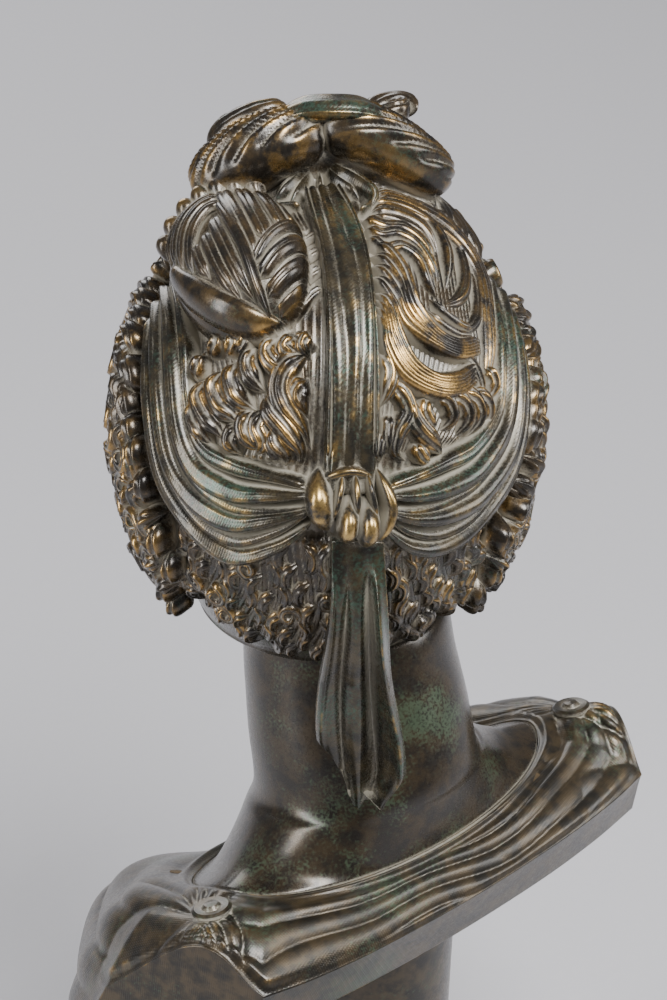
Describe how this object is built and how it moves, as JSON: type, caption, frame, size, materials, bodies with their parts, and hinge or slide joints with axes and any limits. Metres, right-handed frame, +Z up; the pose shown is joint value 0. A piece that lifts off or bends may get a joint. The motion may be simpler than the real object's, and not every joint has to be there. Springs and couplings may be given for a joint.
{
  "type": "bust",
  "caption": "Draped bronze bust of a young woman with braided, ribbon-tied hair, on a turned socle and a square stone plinth.",
  "frame": {"origin": "centre of the felt pad's underside, on the axis of the socle and tie rod", "axes": "+Z up; the chest faces -Y; the figure's left is +X"},
  "size_m": [0.1536, 0.1121, 0.319],
  "materials": {
    "bronze_hair": "cast and chased bronze, dark brown patina with worn gilt-coloured high points and pale dust in the hollows",
    "bronze_ribbon": "cast bronze folds, green and brown patina, worn edges",
    "bronze_flesh": "smooth filed bronze, dark satin patina with mottled green",
    "bronze_dress": "chased drapery bronze, fine woven tooling, worn edges",
    "bronze_socle": "turned bronze, satin brown patina",
    "bronze_inside": "rough sand-cast bronze",
    "plinth_stone": "polished dark green marble with pale veins",
    "iron": "plain iron hardware, dulled",
    "felt": "green wool felt"
  },
  "bodies": {
    "root": {"felt_pad": "felt", "plinth": "plinth_stone", "socle": "bronze_socle", "pillar": "bronze_socle", "tie_rod": "iron", "tie_washers": "iron", "tie_nuts": "iron", "bridge_bar": "bronze_inside", "bust_shell": "bronze_dress", "joint_strap": "bronze_inside", "joint_pins": "bronze_dress", "brooch_left": "bronze_dress", "brooch_right": "bronze_dress", "head_casting": "bronze_flesh", "crown_hair": "bronze_hair", "brow_curls_left": "bronze_hair", "brow_curls_right": "bronze_hair", "side_curls_left": "bronze_hair", "side_curls_right": "bronze_hair", "nape_curls": "bronze_hair", "curl_panel_left": "bronze_hair", "wavy_hair_right": "bronze_hair", "braid_coil": "bronze_hair", "topknot_left": "bronze_hair", "topknot_right": "bronze_hair", "topknot_fold": "bronze_ribbon", "crown_cloth": "bronze_ribbon", "ribbon_band": "bronze_ribbon", "ribbon_swag_left": "bronze_ribbon", "ribbon_swag_right": "bronze_ribbon", "ribbon_knot": "bronze_ribbon", "ribbon_tail": "bronze_ribbon"}
  },
  "joints": []
}
